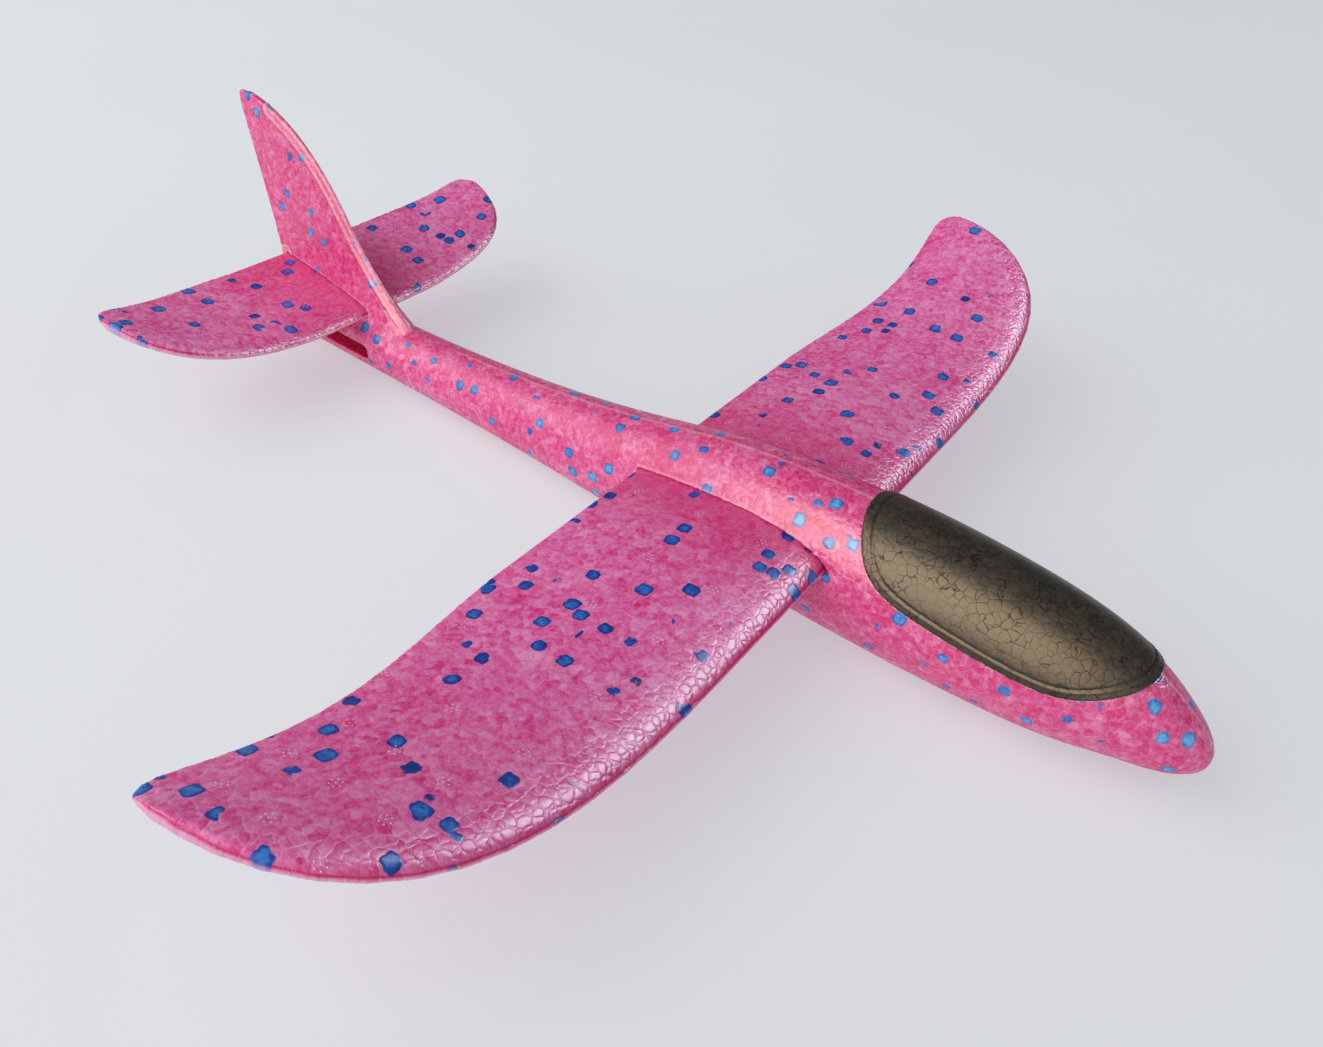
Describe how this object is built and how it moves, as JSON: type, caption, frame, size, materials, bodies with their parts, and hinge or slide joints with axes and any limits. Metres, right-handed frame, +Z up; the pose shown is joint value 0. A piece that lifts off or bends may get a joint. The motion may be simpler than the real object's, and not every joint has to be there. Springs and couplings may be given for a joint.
{
  "type": "hand-launched foam glider",
  "caption": "Unpowered moulded bead-foam toy glider with push-through wing, push-through tailplane, fixed fin and black foam canopy",
  "frame": {"origin": "Middle of the overall box in plan, on the surface that the belly rests on.", "axes": "+X to the nose, +Y to the left wing tip, +Z up."},
  "size_m": [0.3804, 0.381, 0.0915],
  "materials": {
    "fuselage_foam": "satin moulded bead foam, pink with scattered blue beads",
    "wing_foam": "satin moulded bead foam, magenta pink with scattered blue beads",
    "canopy_foam": "satin moulded bead foam, black",
    "ballast_steel": "turned plain steel"
  },
  "bodies": {
    "airframe": {"fuselage": "fuselage_foam", "canopy": "canopy_foam", "nose_ballast": "ballast_steel"},
    "wing": {"main_wing": "wing_foam"},
    "tail": {"tailplane": "wing_foam"}
  },
  "joints": [
    {"name": "wing_slide", "type": "slide", "parent": "airframe", "child": "wing", "axis": [0, 1, 0], "range_m": [-0.05, 0.05]},
    {"name": "tailplane_slide", "type": "slide", "parent": "airframe", "child": "tail", "axis": [0, 1, 0], "range_m": [-0.014, 0.014]}
  ]
}
